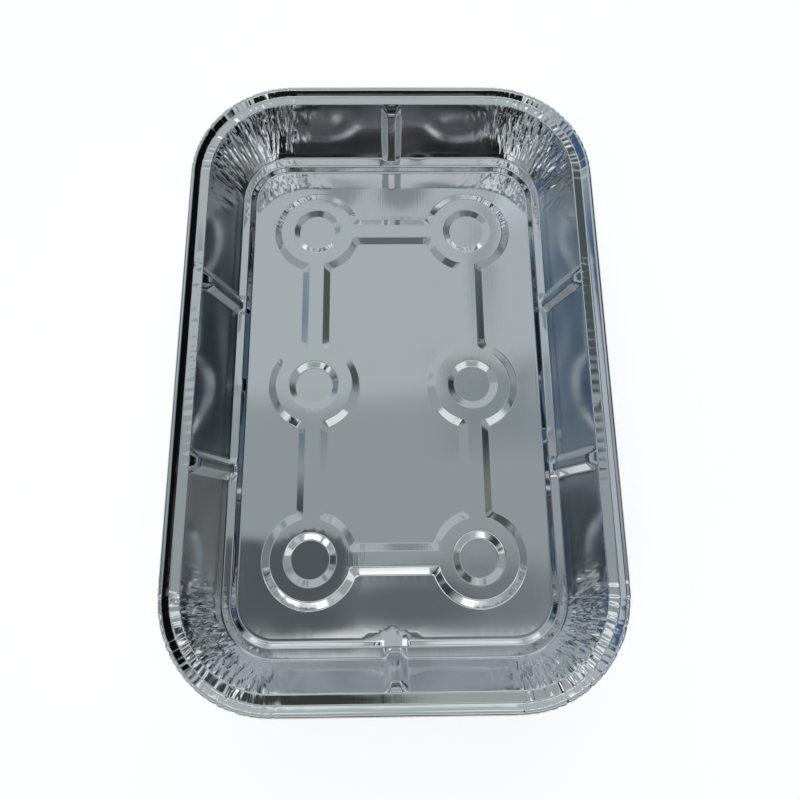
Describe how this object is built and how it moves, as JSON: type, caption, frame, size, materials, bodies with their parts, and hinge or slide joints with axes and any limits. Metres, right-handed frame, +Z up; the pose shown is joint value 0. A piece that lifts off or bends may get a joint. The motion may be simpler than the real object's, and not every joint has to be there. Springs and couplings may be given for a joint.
{
  "type": "foil tray",
  "caption": "Rectangular aluminium foil tray with pleated corners, ribbed tapered walls, a flat flange with a rolled edge, and raised pads and bars pressed into the floor.",
  "frame": {"origin": "centre of the underside of the floor, where the tray stands", "axes": "+X across the tray, +Y along it, +Z up out of the tray"},
  "size_m": [0.215, 0.321, 0.0435],
  "materials": {
    "foil": "bright rolled foil"
  },
  "bodies": {
    "root": {"foil_tray": "foil"}
  },
  "joints": []
}
